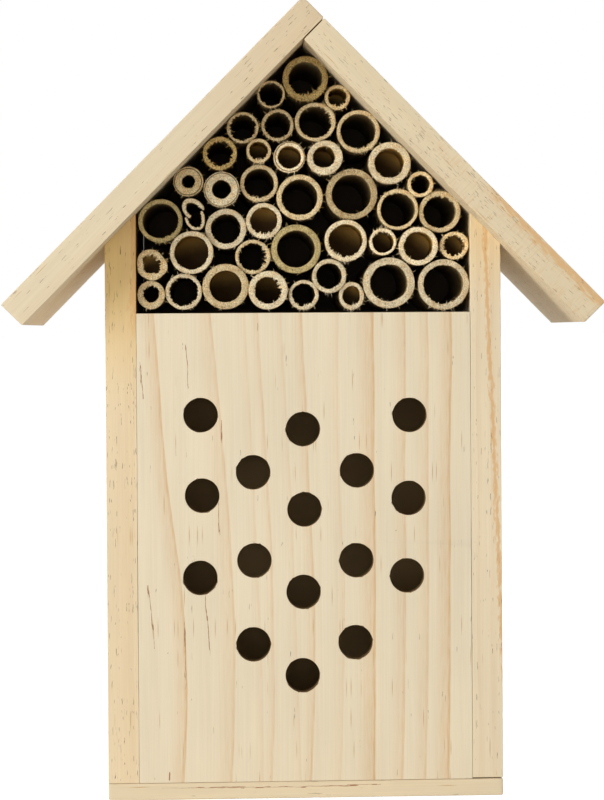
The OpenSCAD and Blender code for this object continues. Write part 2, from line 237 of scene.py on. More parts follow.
    if inner:
        lower, upper, start = inner
        inner_shade = add("MapRange", {0: along, 1: start - 2, 2: start})
        inner_shade = add("Mix", {0: inner_shade, 6: linear(lower), 7: linear(upper)}, 2, data_type="RGBA")
        skin = add("MapRange", {0: depth, 1: 0.2, 2: 0.6, 3: 1, 4: 0})
        colour = add("Mix", {0: skin, 6: colour, 7: inner_shade}, 2, data_type="RGBA")
    # The walls behind the front face: the end grain's own darker colour with painted shade over it.
    if bore_grain_and_shade:
        wall = add("MapRange", {0: depth, 1: 0.05, 2: 0.4})
        colour = add("Mix", {0: wall, 6: colour, 7: linear(bore_grain_and_shade)}, 2, data_type="RGBA")

    # Drying cracks wander a little, close towards their ends and are shallow.
    for foot, head, width in cracks:
        middle = add("MapRange", {0: along, 1: foot[0], 2: head[0], 3: foot[1], 4: head[1]})
        off = add("Math", {0: on_board[across], 1: middle}, operation="SUBTRACT")
        stray = add("MapRange", {0: broken, 1: 0.3, 2: 0.7, 3: -0.3, 4: 0.3})
        off = add("Math", {0: off, 1: stray}, operation="ADD")
        off = add("Math", {0: off}, operation="ABSOLUTE")
        gape = add("MapRange", {0: along, 1: foot[0], 2: head[0], 3: -1})
        gape = add("Math", {0: gape}, operation="ABSOLUTE")
        gape = add("MapRange", {0: gape, 1: 0.6, 3: width / 2, 4: 0})
        off = add("Math", {0: off, 1: gape}, operation="SUBTRACT")
        crack = add("MapRange", {0: off, 1: 0, 2: 0.08, 3: 0.85, 4: 0})
        shallow = add("MapRange", {0: depth, 1: 0.3, 3: 1, 4: 0})
        crack = add("Math", {0: crack, 1: shallow}, operation="MULTIPLY")
        ended = add("Math", {0: gape, 1: 0.004}, operation="GREATER_THAN")
        crack = add("Math", {0: crack, 1: ended}, operation="MULTIPLY")
        colour = add("Mix", {0: crack, 6: colour, 7: linear(PINE_CRACK)}, 2, data_type="RGBA")

    height = add("Math", {0: fibre, 1: duct}, operation="SUBTRACT")
    bump = add("Bump", {"Height": height, "Strength": 0.5, "Distance": 0.06 * MM})
    shader = add("BsdfPrincipled", {"Base Color": colour, "Roughness": PINE_ROUGHNESS,
                                    "Specular IOR Level": 0.3, "Normal": bump})
    add("OutputMaterial", {"Surface": shader})
    return material


def join_rows(bm, rows, ring=True, loop=False):
    """Faces between neighbouring rows of vertices, which may share a vertex.

    A ring also joins the last row to the first, and in a loop each row closes on itself.
    """
    for row, after in zip(rows, rows[1:] + rows[:1] if ring else rows[1:]):
        for j in range(len(row) if loop else len(row) - 1):
            k = (j + 1) % len(row)
            corners = list(dict.fromkeys([row[j], row[k], after[k], after[j]]))
            if len(corners) > 2:
                bm.faces.new(corners)
    bmesh.ops.recalc_face_normals(bm, faces=bm.faces)


def lathe(profile, turns, wobble=None):
    """A closed solid turned about local Z from (radius, height) points.

    The points start and end on the axis. wobble adds to the radius at an angle and a height.
    """
    bm = bmesh.new()
    poles = {height: bm.verts.new((0, 0, height)) for radius, height in profile if radius == 0}
    rows = []
    for angle in (math.tau * i / turns for i in range(turns)):
        rows.append([])
        for radius, height in profile:
            r = radius + (wobble(angle, height) if wobble else 0)
            spot = (r * math.cos(angle), r * math.sin(angle), height)
            rows[-1].append(bm.verts.new(spot) if radius else poles[height])
    join_rows(bm, rows)
    return bm


def islands(node, kept=lambda co: True):
    """The groups of joined vertices on a CAD node's mesh, of those that are kept."""
    bm = bmesh.new()
    bm.from_mesh(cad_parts[node].data)
    bmesh.ops.remove_doubles(bm, verts=bm.verts, dist=0.01 * MM)
    left, found = {vert for vert in bm.verts if kept(vert.co)}, []
    for first in bm.verts:
        if first not in left:
            continue
        left.discard(first)
        todo, island = [first], []
        while todo:
            vert = todo.pop()
            island.append(vert.co.copy())
            for near in (edge.other_vert(vert) for edge in vert.link_edges):
                if near in left:
                    left.discard(near)
                    todo.append(near)
        found.append(island)
    bm.free()
    return found


def nails_of(node):
    """The head centre and the outward direction of each nail in a CAD node of nails."""
    found = []
    for island in islands(node):
        one_end = max(island, key=lambda co: (co - island[0]).length)
        other_end = max(island, key=lambda co: (co - one_end).length)
        for point in (one_end, other_end):
            reach = max((co - point).length for co in island)
            rim = [co for co in island if (co - point).length > reach - 0.01 * MM]
            if len(rim) > 5:
                head = sum(rim, Vector()) / len(rim)
                found.append((head, (head - point).normalized()))
                break
    return found


NAIL_NODES = ("base_nails", "side_nails", "roof_nails", "ridge_nails")
nails = {node: nails_of(node) for node in NAIL_NODES}

# Every nail head has crushed a shallow dimple in the wood round itself.
HEAD_R = 1.2 * MM
HEAD_T = 0.6 * MM
DIMPLE = 0.35 * MM


def dimples(low, high):
    """Cutters for the nail heads that lie on a board's box."""
    made = []
    for centre, outward in (nail for node in NAIL_NODES for nail in nails[node]):
        if all(low[i] - 2 * MM < centre[i] < high[i] + 2 * MM for i in range(3)):
            pocket = HEAD_R + 0.05 * MM
            floor = -HEAD_T - 0.2 * MM
            bm = lathe([(0, floor), (pocket, floor), (pocket, -0.25 * MM),
                        (HEAD_R + 0.8 * DIMPLE, -0.08 * MM), (HEAD_R + 3 * DIMPLE, MM), (0, MM)], 24)
            bm.transform(Matrix.Translation(centre) @ outward.to_track_quat("Z", "Y").to_matrix().to_4x4())
            made.append(bm)
    return made


def new_object(name):
    """An object in the scene with an empty mesh, both of one name."""
    made = bpy.data.objects.new(name, bpy.data.meshes.new(name))
    bpy.context.scene.collection.objects.link(made)
    return made


def finish_mesh(piece, bm, angle=28):
    """Puts a bmesh on a piece, smooth but for its sharp edges."""
    bm.to_mesh(piece.data)
    bm.free()
    piece.data.shade_smooth()
    piece.data.set_sharp_from_angle(angle=math.radians(angle))


def volume(mesh):
    """The volume that a mesh encloses, negative where it is inside out."""
    bm = bmesh.new()
    bm.from_mesh(mesh)
    enclosed = bm.calc_volume(signed=True)
    bm.free()
    return enclosed


def extent(mesh):
    """How far a mesh reaches along each local axis, forwards and then backwards."""
    spots = [vert.co for vert in mesh.vertices]
    return [max(co[i] for co in spots) for i in range(3)] + [max(-co[i] for co in spots) for i in range(3)]


CUT_TRIES = 8
CUT_NUDGE = 0.012


def cut_out(piece, cutters):
    """Cuts closed bmeshes, in the row frame, out of a piece one after the other.

    A cut that takes no wood away, or leaves something standing out, is made again with
    its cutter turned by a hair. A cutter that doesn't touch the piece changes nothing.
    """
    tool = new_object("cutter")
    for bm in cutters:
        whole, reach, most = volume(piece.data), extent(piece.data), abs(bm.calc_volume())
        middle = sum((vert.co for vert in bm.verts), Vector()) / len(bm.verts)
        turn = Matrix.Rotation(CUT_NUDGE, 4, (0.3, 0.5, 0.8))
        nudge = Matrix.Translation(middle) @ turn @ Matrix.Translation(-middle)
        for _ in range(CUT_TRIES):
            bm.to_mesh(tool.data)
            change = piece.modifiers.new("cut", "BOOLEAN")
            change.operation = "DIFFERENCE"
            change.solver = "EXACT"
            change.object = tool
            bpy.context.view_layer.update()
            view = bpy.context.evaluated_depsgraph_get()
            solid = bpy.data.meshes.new_from_object(piece.evaluated_get(view))
            piece.modifiers.clear()
            inside = all(new < old + 0.01 * MM for new, old in zip(extent(solid), reach))
            if inside and 0 < whole - volume(solid) < 1.5 * most:
                old, piece.data = piece.data, solid
                bpy.data.meshes.remove(old)
                break
            bpy.data.meshes.remove(solid)
            bm.transform(nudge)
        bm.free()
    bpy.data.objects.remove(tool)


# A board is cut across every WEAR_EVERY, so that it can wander by WAVE and be chipped.
WEAR_EVERY = 1.3 * MM
WAVE = 0.05 * MM
WAVE_LENGTH = 9 * MM
CHIP = 0.3 * MM
CHIP_LENGTH = 2.2 * MM
CHIP_RARITY = 0.32

# Until it is seeded, noise_vector shifts its pattern by the time of day.
noise.seed_set(5)


def wear(bm, low, high, ease, wave, seed):
    """Makes a board wander, bruises its long arrises, and fits it back between its corners."""
    for vert in bm.verts:
        co = vert.co
        vert.co = co + noise.noise_vector(Vector((co.x / 3, co.y, co.z)) / WAVE_LENGTH + seed) * wave
        from_arris = max(min(co[i] - low[i], high[i] - co[i]) for i in (1, 2))
        if from_arris < 1.6 * ease:
            spot = Vector((co.x / CHIP_LENGTH, co.y / (20 * MM), co.z / (20 * MM)))
            inward = Vector((0, *(1 if co[i] - low[i] < high[i] - co[i] else -1 for i in (1, 2))))
            vert.co += inward.normalized() * max(0, noise.noise(spot + seed) - CHIP_RARITY) * CHIP
    for i in range(3):
        least, most = min(v.co[i] for v in bm.verts), max(v.co[i] for v in bm.verts)
        for vert in bm.verts:
            vert.co[i] = low[i] + (vert.co[i] - least) * (high[i] - low[i]) / (most - least)


def board(name, outline, sweep, place, material, long_ease, end_ease=0.25, cutters=(),
          wear_every=WEAR_EVERY, wave=WAVE):
    """A sawn and sanded board, as a prism of an outline whose grain runs along local X.

    Its long arrises and its sawn ends are eased by so many mm. It is cut while it is
    still exact, and worn after. place takes it from local axes to the row frame.
    """
    bm = bmesh.new()
    face = bm.faces.new([bm.verts.new(corner) for corner in outline])
    grown = bmesh.ops.extrude_face_region(bm, geom=[face])["geom"]
    bmesh.ops.translate(bm, vec=sweep, verts=[g for g in grown if isinstance(g, bmesh.types.BMVert)])
    bmesh.ops.recalc_face_normals(bm, faces=bm.faces)
    low = Vector([min(v.co[i] for v in bm.verts) for i in range(3)])
    high = Vector([max(v.co[i] for v in bm.verts) for i in range(3)])
    long_edges = [e for e in bm.edges if abs((e.verts[0].co - e.verts[1].co).normalized().x) > 0.99
                  and e.calc_face_angle(0) > 1]
    bmesh.ops.bevel(bm, geom=long_edges, offset=long_ease * MM, segments=4, profile=0.5, affect="EDGES")
    end_edges = [e for e in bm.edges if e.calc_face_angle(0) > 0.6]
    bmesh.ops.bevel(bm, geom=end_edges, offset=end_ease * MM, segments=2, profile=0.5, affect="EDGES")
    steps = int((high.x - low.x) / wear_every)
    for i in range(1, steps):
        x = low.x + (high.x - low.x) * i / steps
        bmesh.ops.bisect_plane(bm, geom=[*bm.verts, *bm.edges, *bm.faces], plane_co=(x, 0, 0),
                               plane_no=(1, 0, 0))
    if bm.calc_volume(signed=True) < 0:
        bmesh.ops.reverse_faces(bm, faces=bm.faces)
    piece = new_object(name + "_board")
    piece.matrix_world = place
    finish_mesh(piece, bm)
    bpy.context.view_layer.update()
    cut_out(piece, [*cutters, *dimples(*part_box(name))])
    bm = bmesh.new()
    bm.from_mesh(piece.data)
    wear(bm, low, high, long_ease * MM, wave, Vector((len(name) * 7.1, sum(map(ord, name)) * 0.37, 3.3)))
    finish_mesh(piece, bm)
    piece.data.materials.clear()
    piece.data.materials.append(material)
    flat = piece.modifiers.new("flat faces", "WEIGHTED_NORMAL")
    flat.keep_sharp = True
    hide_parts(name)
    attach(piece, "root")


def axes(origin, x, y, z):
    """A place from its origin and its three unit axes."""
    return Matrix.Translation(origin) @ Matrix((x, y, z)).transposed().to_4x4()


UP, RIGHT, BACK = Vector((0, 0, 1)), Vector((1, 0, 0)), Vector((0, 1, 0))

low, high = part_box("base_board")
size = high - low
outline = [(0, 0, 0), (size.x, 0, 0), (size.x, 0, size.z), (0, 0, size.z)]
base_pine = pine("planed pine, base", size.x / MM, "#E4D2B0", "Z", rings=0.12, ducts=0.02, pith=(-60, -20),
                 cracks=[((14.9, 3.5), (58, 3.3), 0.12), ((56, 3.2), (79.7, 3.8), 0.2)])
board("base_board", outline, (0, size.y, 0), axes(low, RIGHT, BACK, UP), base_pine, 0.4, 0.5)

# Side boards. Two upright pine boards stand on the base, grain upwards, their tops
# sawn to the roof's slope. They are nailed to both panels and to the shelf, and the foot
# of the right one stands a hair off the base.
ROOF_PITCH = math.radians(45.4)

# The yellower head of the left side board is painted shade, the warm shadow under the roof's overhang. The
# right board's head turns a little yellower.
for name, outer_x, y_axis, z_axis, ease, foot, early, ducts, streak, tint_along in (
    ("side_left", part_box("side_left")[0].x, -BACK, RIGHT, 0.1, 0, "#E8D2AC", 0.18,
     (8.3, 8.5, 1.1, 128, 75), (105, 152, "#E6C482")),
    ("side_right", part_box("side_right")[1].x, BACK, -RIGHT, 0.2, 0.22 * MM, "#E8D6B5", 0.1,
     (-1.6, 4.8, 0.65, 24, 0), (135, 165, "#E7CFA2")),
):
    low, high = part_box(name)
    size = high - low
    short = size.z - size.x * math.tan(ROOF_PITCH)
    outline = [(foot, 0, 0), (short, 0, 0), (size.z, 0, size.x), (foot, 0, size.x)]
    origin = (outer_x, high.y if y_axis.y < 0 else low.y, low.z)
    wood = pine("planed pine, " + name, size.z / MM, early, "Z", rings=0.2, ring=3.6, pith=(-20, -35),
                ducts=ducts, streak=streak, tint_along=tint_along)
    board(name, outline, (0, size.y, 0), axes(origin, UP, y_axis, z_axis), wood, ease)

# Back panel. One pine board with its grain upwards closes the whole gable between
# the sides. A slot for a screw head is routed in its outer face.
KEY_HEAD_R = 4.75 * MM
KEY_CUTTER_R = 4.5 * MM
KEY_SLOT_W = 4.5 * MM
KEY_RISE = 9 * MM
KEY_LIP = 2.5 * MM
KEY_DEPTH = 6 * MM
KEY_Z = 182.4 * MM

low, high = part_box("back_panel")
size = high - low
shoulder = size.z - size.x / 2 * math.tan(ROOF_PITCH)
outline = [(0, 0, 0), (shoulder, 0, 0), (size.z, size.x / 2, 0), (shoulder, size.x, 0), (0, size.x, 0)]


def slot_cutter(width, rise, near, far):
    """A round-ended slot cutter that reaches between two depths, from the entry hole upwards."""
    bm = bmesh.new()
    turn = 24
    rim = [(width / 2 * math.cos(a), width / 2 * math.sin(a) + (rise if a < math.pi else 0))
           for a in (math.tau * (i + 0.5) / turn for i in range(turn))]
    face = bm.faces.new([bm.verts.new((x, z, near)) for x, z in rim])
    grown = bmesh.ops.extrude_face_region(bm, geom=[face])["geom"]
    far_end = [g for g in grown if isinstance(g, bmesh.types.BMVert)]
    bmesh.ops.translate(bm, vec=(0, 0, far - near), verts=far_end)
    bmesh.ops.recalc_face_normals(bm, faces=bm.faces)
    bm.transform(axes((0, high.y, KEY_Z), RIGHT, UP, -BACK))
    return bm


# The entry hole is cut first, then the slide, and then the hollow behind the lip.
slot_cuts = [slot_cutter(KEY_SLOT_W, KEY_RISE, -MM, KEY_DEPTH - 0.02 * MM),
             slot_cutter(2 * KEY_CUTTER_R, KEY_RISE, KEY_LIP, KEY_DEPTH)]
entry = lathe([(0, -MM), (KEY_HEAD_R + 1.3 * MM, -MM), (KEY_HEAD_R, 0.3 * MM),
               (KEY_HEAD_R, KEY_DEPTH + 0.02 * MM), (0, KEY_DEPTH + 0.02 * MM)], 48)
entry.transform(axes((0, high.y, KEY_Z), RIGHT, UP, -BACK))
BACK_LINES = [((18, 19, 22, 24), 6, 0.8), ((31, 33, 34, 35), 5, 0.5), ((62, 61, 60, 60), 7, 0.9),
              ((80, 79, 76, 74), 6, 0.6)]
# Its inner face is painted shade, darker from 137 mm up, behind the canes.
back_pine = pine("planed pine, back", size.z / MM, "#E3D0AE", lines=BACK_LINES, ring=6.5, pith=(40, -50),
                 inner=("#BC9E6A", "#64523A", 137))
board("back_panel", outline, (0, 0, size.y), axes(low, UP, RIGHT, BACK), back_pine, 0.3, 0.2,
      [entry, *slot_cuts], 3 * MM)

# Shelf. A thin pine board between the two panels, level with the front panel's top.
# It carries the canes and is nailed through the sides.
low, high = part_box("shelf")
size = high - low
outline = [(0, 0, 0), (size.x, 0, 0), (size.x, 0, size.z), (0, 0, size.z)]
board("shelf", outline, (0, size.y, 0), axes(low, RIGHT, BACK, UP), base_pine, 0.3, 0.2, (), 4 * MM)

# Front panel. One wide pine board with its grain upwards, let in between the sides
# and drilled with a 10 mm bit. The bit left small tears at the rims of its holes. The
# panel is pressed between the sides, so both seams close to a thread of shadow.
low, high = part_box("front_panel")
size = high - low
PRESSED_LEFT = 0.16 * MM
PRESSED_RIGHT = 0.144 * MM
HOLE_R = 5 * MM
HOLE_EDGE = 0.12 * MM
TEAR_DEPTH = 0.6 * MM


def on_bore_wall(co):
    """Whether a vertex of the panel lies on the wall of a hole, between the two faces."""
    inside = low.x + MM < co.x < high.x - MM and low.z + MM < co.z < high.z - MM
    return inside and low.y + 0.1 * MM < co.y < high.y - 0.1 * MM


def hole_centres():
    """The x and z of each drilled hole, from the rings of its bore on the CAD mesh."""
    for ring in islands("front_panel", on_bore_wall):
        x, z = ([co[i] for co in ring] for i in (0, 2))
        if max(x) - min(x) > 1.8 * HOLE_R:
            yield (min(x) + max(x)) / 2, (min(z) + max(z)) / 2


def drilled_hole(x, z, draw):
    """A cutter for one hole, with tears where the bit met the fibres end on."""
    tears = [(draw.uniform(0, math.tau), draw.uniform(0.06, 0.2), draw.uniform(0.05, 0.32) * MM)
             for _ in range(7)]

    def wobble(angle, height):
        if height > TEAR_DEPTH:
            return 0
        near = max(max(0, 1 - abs(math.remainder(angle - at, math.tau)) / wide) * deep
                   for at, wide, deep in tears)
        return near * (1 - max(0, height) / TEAR_DEPTH)

    bm = lathe([(0, -MM), (HOLE_R + HOLE_EDGE, -MM), (HOLE_R + HOLE_EDGE, -0.1 * MM),
                (HOLE_R + 0.25 * HOLE_EDGE, 0.12 * MM), (HOLE_R, 0.3 * MM), (HOLE_R, TEAR_DEPTH + 0.1 * MM),
                (HOLE_R, size.y + MM), (0, size.y + MM)], 96, wobble)
    bm.transform(axes((x, low.y, z), RIGHT, -UP, BACK))
    return bm


# Year lines, each as its places across the panel at the foot, at a third, at two thirds
# and at the head, how far it fades to the left, and its strength.
PANEL_LINES = [((13.0, 13.7, 8.4, 4.8), 6, 0.85), ((26.7, 27.8, 25.2, 21.6), 7, 0.6),
               ((36.2, 35.5, 33.5, 31.7), 4, 0.3), ((38.8, 39.5, 37.6, 35.4), 3, 0.5),
               ((47.0, 46.0, 44.4, 42.2), 4, 0.3), ((50.1, 51.4, 50.0, 48.4), 4, 0.65),
               ((58.3, 60.3, 59.0, 59.0), 5, 0.35), ((68.7, 69.3, 69.4, 69.0), 7, 1.0),
               ((77.1, 78.0, 78.3, 78.0), 5, 0.65), ((83.6, 84.4, 85.0, 84.8), 5, 0.6),
               ((90.3, 90.8, 91.5, 91.9), 6, 0.95)]

# Drying cracks, each as its two ends, up from the foot and across, and its width.
CRACKS = [((115, 15.0), (128, 14.3), 0.2), ((112, 1.9), (123, 0.9), 0.18), ((37, 20.8), (56, 19.4), 0.22),
          ((39, 4.8), (58, 2.8), 0.15), ((0.6, 8.8), (3.4, 8.9), 0.25), ((27, 13.7), (49, 13.5), 0.12),
          ((99, 24.5), (106, 24.6), 0.1), ((72, 23.9), (84, 23.2), 0.1)]
draw = random.Random(11)
cutters = [drilled_hole(x, z, draw) for x, z in hole_centres()]
outline = [(0, 0, 0), (size.z, 0, 0), (size.z, 0, size.y), (0, 0, size.y)]
# The walls of its holes have the end grain's darker colour with painted shade over it.
panel_pine = pine("planed pine, front", size.z / MM, "#E7D8BA", lines=PANEL_LINES, rings=0.05, ducts=0.008,
                  bore_grain_and_shade="#7A5F3C", cracks=CRACKS)
board("front_panel", outline, (0, size.x + PRESSED_LEFT + PRESSED_RIGHT, 0),
      axes(low - PRESSED_LEFT * RIGHT, UP, RIGHT, BACK), panel_pine, 0.06, 0.15, cutters, 4 * MM, 0.1 * WAVE)

# Canes. Forty-one dry hollow stems, sawn to one length and packed under the gable by
# hand. The saw left a rough speckled ring on each, with torn fibres round the bore, and
# some stems are closed by a joint farther in. One of them was crushed and split.
SAW_STEP = 0.17 * MM
ARRIS = 0.17 * MM
SAW_ROUGH = 0.06 * MM
TEAR_EVERY = 0.28 * MM
JOINT_T = 1.2 * MM


def hair(bm, course, start, way, length, width, draw):
    """A torn fibre: a thin tapered three-sided spike that bends a little."""
    side = way.orthogonal().normalized()
    bend = Vector([draw.uniform(-0.4, 0.4) for _ in range(3)]) * length
    stations = 4
    rows = []
    tip = bm.verts.new(start + way * length + bend)
    for i in range(3):
        turn = Matrix.Rotation(math.tau * i / 3, 3, way) @ side
        spots = [start + way * length * t + bend * t * t + turn * width / 2 * (1 - 0.7 * t)
                 for t in (k / stations for k in range(stations))]
        rows.append([*(bm.verts.new(spot) for spot in spots), tip])
    join_rows(bm, rows)
    bm.faces.new([row[0] for row in rows])
    for vert in [tip, *(v for row in rows for v in row)]:
        vert[course] = 0.4


def cane(name, tone, fray, moved=(0, 0), frayed_to=None, burr=0.4, oval=0.02, oval_at=20,
         bore_at=(0, 0), hairs=8, uneven=0.15, layer=None):
    """One sawn cane in the place and of the size of its CAD node.

    tone is how light it is, and moved is how far it lies from its CAD solid, across and
    up in mm. fray and burr are how torn its inner and outer edges are, and angles are in
    degrees, from the right and anticlockwise as seen from the front. bore_at moves the
    bore off the centre and uneven is how far its wall wanders, both in mm. A layer is a
    dark split in the sawn face: its place in the wall, its swing and where it swings to.
    The course of a vertex is 0 to 1 from the bore to the skin over the cut face, and runs
    on in mm along the skin and, below 0, down the bore. lit is how much painted light falls
    on the wall of a closed bore, which is painted shade where it is low, and is 0 in an open one.
    """
    low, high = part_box(name)
    centre = (low + high) / 2
    draw = random.Random(name)
    outer, length = (high.x - low.x) / 2, high.y - low.y
    spots = [(math.hypot(v.co.x - centre.x, v.co.z - centre.z), v.co.y - low.y)
             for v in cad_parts[name].data.vertices]
    bore = min(r for r, y in spots)
    joint = min((y for r, y in spots if r < 1.02 * bore and 5 * MM < y < length - 5 * MM), default=None)
    seed = draw.uniform(0, 100)
    turned = math.radians(oval_at)
    worst = math.radians(frayed_to) if frayed_to is not None else None
    lean = draw.uniform(0, math.tau)
    slope = draw.uniform(0.004, 0.022)

    # Painted light falls on the upper wall of a closed bore, and leans to the side that its cane lies on. The
    # rest of that wall is painted shade.
    lit_from = math.radians(80 - 0.8 * centre.x / MM)

    def wave(angle, size, where=0.0):
        return noise.noise(Vector((size * math.cos(angle), size * math.sin(angle), seed + where)))

    def tears(radius, amount):
        made = []
        for _ in range(int(math.tau * radius / TEAR_EVERY)):
            at = draw.uniform(0, math.tau)
            more = 1 if worst is None else 0.55 + 1.5 * max(0, math.cos(at - worst)) ** 3
            made.append((at, draw.uniform(0.12, 0.3) * MM / radius,
                         draw.uniform(0.1, 0.95) ** 2 * MM * amount * more))
        return made

    def torn(angle, tears_made):
        return max((max(0, 1 - abs(math.remainder(angle - at, math.tau)) / wide) * deep
                    for at, wide, deep in tears_made), default=0)

    bore_tears, skin_tears = tears(bore, fray), tears(outer, burr)
    bm = bmesh.new()
    course = bm.verts.layers.float.new("course")
    lit = bm.verts.layers.float.new("lit")
    offset = Vector((bore_at[0], 0, bore_at[1])) * MM

    def vert(angle, radius, depth, along, off_centre=0.0):
        out = Vector((math.cos(angle), 0, math.sin(angle)))
        face = max(0, 1 - depth / (4 * MM))
        saw = slope * radius * math.cos(angle - lean) * face
        rough = noise.noise(out * radius / (0.5 * MM) + Vector((seed, 0, 0))) + 1 if 0 <= along <= 1 else 0
        spot = out * radius + offset * off_centre
        made = bm.verts.new(spot + Vector((0, depth + slope * outer + saw + SAW_ROUGH * rough, 0)))
        made[course] = along
        if joint:
            up = (spot.x * math.cos(lit_from) + spot.z * math.sin(lit_from)) / bore
            made[lit] = 0.02 + 0.98 * max(0.0, min(1.0, 0.2 + 0.95 * up)) ** 2
        return made

    axis = {}
    if joint:
        for depth in (joint, joint + JOINT_T):
            axis[depth] = vert(0, 0, depth, -depth / MM, 1)
    rows = []
    turns = int(math.tau * outer / SAW_STEP)
    for angle in (math.tau * i / turns for i in range(turns)):
        squash = 1 + oval * math.cos(2 * (angle - turned)) / 2
        out_r = outer * squash + 0.7 * uneven * MM * wave(angle, 1.3)
        in_r = bore * squash + 1.3 * uneven * MM * wave(angle, 1.1, 9)
        tooth = torn(angle, bore_tears)
        burred = torn(angle, skin_tears)
        wall = out_r - in_r
        flat = max(0.2 * MM, wall - 2 * ARRIS)
        row = [axis[joint]] if joint else [vert(angle, in_r, length - 0.1 * MM, -length / MM, 1)]
        if joint:
            row += [vert(angle, in_r * share, joint, -joint / MM, 1) for share in (0.4, 0.75, 1)]
        row += [vert(angle, in_r, y * MM, -y, 1) for y in (9, 4, 2, 1) if not joint or y * MM < joint]
        row.append(vert(angle, in_r - 0.3 * tooth, 0.5 * MM, -0.35, 1))
        row.append(vert(angle, in_r - tooth, 0.1 * MM + 0.25 * tooth, 0.1, 1))
        row.append(vert(angle, in_r + 0.3 * (wall - flat), 0, 0.12, 0.9))
        for share in (0.2, 0.4, 0.6, 0.8):
            row.append(vert(angle, in_r + (wall - flat) / 2 + flat * share, 0, share * 0.8 + 0.1, 1 - share))
        if layer:
            at, swing, toward = layer
            split = in_r + wall * (at + swing * math.cos(angle - math.radians(toward)))
            row[-4:] = [vert(angle, in_r + (split - in_r) * 0.5, 0, 0.4, 0.6),
                        vert(angle, split - 0.16 * MM, 0, 0.7, 0.2),
                        vert(angle, split, 0.5 * MM, 3, 0.2),
                        vert(angle, split + 0.14 * MM, 0.05 * MM, 0.85, 0.1)]
        row.append(vert(angle, out_r - 0.3 * ARRIS + 0.2 * burred, 0.06 * MM, 0.93))
        row.append(vert(angle, out_r + 0.3 * burred, 0.3 * MM, 1.1))
        groove = 0.04 * MM * wave(angle, 6, 4)
        row += [vert(angle, out_r + groove, y * MM, 1 + y) for y in (0.9, 2, 4, 9, 25)]
        row.append(vert(angle, out_r, length - 0.1 * MM, 1 + length / MM))
        if joint:
            row.append(vert(angle, in_r, length - 0.1 * MM, -length / MM, 1))
            row.append(vert(angle, in_r, joint + JOINT_T, -length / MM, 1))
            row.append(axis[joint + JOINT_T])
        rows.append(row)
    join_rows(bm, rows, True, not joint)

    for n in range(hairs + int(8 + 30 * burr)):
        at = draw.uniform(0, math.tau) if worst is None or draw.random() < 0.3 else worst + draw.gauss(0, 0.5)
        out = Vector((math.cos(at), 0, math.sin(at)))
        inward = n < hairs
        stray = Vector([draw.uniform(-0.8, 0.8), draw.uniform(-0.4, 0.1), draw.uniform(-0.8, 0.8)])
        if inward:
            way = stray - out
            start = out * (bore + 0.25 * MM) + offset + 0.3 * MM * BACK
            reach = draw.uniform(0.35, 1.0) * (0.7 + fray)
        else:
            way = stray + out
            start = out * (outer - 0.15 * MM) + 0.12 * MM * BACK
            reach = draw.uniform(0.4, 1.3) * (0.6 + burr)
        hair(bm, course, start, way.normalized(), reach * MM, draw.uniform(0.12, 0.24) * MM, draw)
    return set_stem(name, bm, (centre.x + moved[0] * MM, low.y, centre.z + moved[1] * MM), tone)


def set_stem(name, bm, place, tone):
    """Puts a finished bmesh in the scene as the stem of a CAD cane."""
    piece = new_object(name + "_stem")
    piece.location = place
    finish_mesh(piece, bm, 60)
    shade = piece.data.attributes.new("tone", "FLOAT", "POINT")
    shade.data.foreach_set("value", [tone] * len(piece.data.vertices))
    return piece


def crushed_cane(name, tone, halves):
    """The crushed cane: two curved halves, each a list of (across, up, thickness) in mm.

    The points of a half are joined by a smooth curve. Its outline is a list of shares of
    the thickness from the inner to the outer face, depths in mm and courses.
    """
    low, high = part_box(name)
    centre = (low + high) / 2
    length = high.y - low.y
    end = length / MM
    outline = ((1, end, 1 + end), (1, 9, 10), (1, 2, 3), (1, 0.4, 1.1), (0.9, 0.05, 0.95), (0.6, 0, 0.7),
               (0.3, 0, 0.4), (0.08, 0.05, 0.1), (0, 0.4, -0.2), (0, 2, -2), (0, 9, -9), (0, end, -end))
    draw = random.Random(name)
    bm = bmesh.new()
    course = bm.verts.layers.float.new("course")
    bm.verts.layers.float.new("lit")
    for half in halves:
        knots = [Vector((x, z, t)) for x, z, t in half]
        knots = [2 * knots[0] - knots[1], *knots, 2 * knots[-1] - knots[-2]]
        line = []
        for a, b, c, d in zip(knots, knots[1:], knots[2:], knots[3:]):
            for t in (k / 8 for k in range(8)):
                line.append(0.5 * (2 * b + (c - a) * t + (2 * a - 5 * b + 4 * c - d) * t * t
                                   + (3 * b - a - 3 * c + d) * t ** 3))
        line.append(knots[-2])
        rows = []
        for i, at in enumerate(line):
            ahead, behind = line[min(i + 1, len(line) - 1)], line[max(i - 1, 0)]
            run = (ahead - behind).xy.normalized()
            out = Vector((-run.y, run.x)) * (1 if half[0][0] < half[-1][0] and half[2][1] > 0 else -1)
            rag = [draw.uniform(-0.1, 0.2), draw.uniform(-0.7, 0.7) ** 3 + 0.05]
            row = []
            for share, depth, value in outline:
                wide = at.z * (share - 0.5) + (rag[0] if share >= 0.9 and depth < 1 else 0) * 0.5
                wide -= rag[1] if share <= 0.08 and depth < 1 else 0
                spot = at.xy + out * wide
                rough = 0.12 * noise.noise(Vector((spot.x, spot.y, 5)) * 2)
                row.append(bm.verts.new(Vector((spot.x, min(depth + 0.15 + rough, end - 0.1), spot.y)) * MM))
                row[-1][course] = value
            rows.append(row)
        join_rows(bm, rows, False, True)
        bm.faces.new(rows[0])
        bm.faces.new(rows[-1])
    bmesh.ops.recalc_face_normals(bm, faces=bm.faces)
    return set_stem(name, bm, (centre.x, low.y, centre.z), tone)


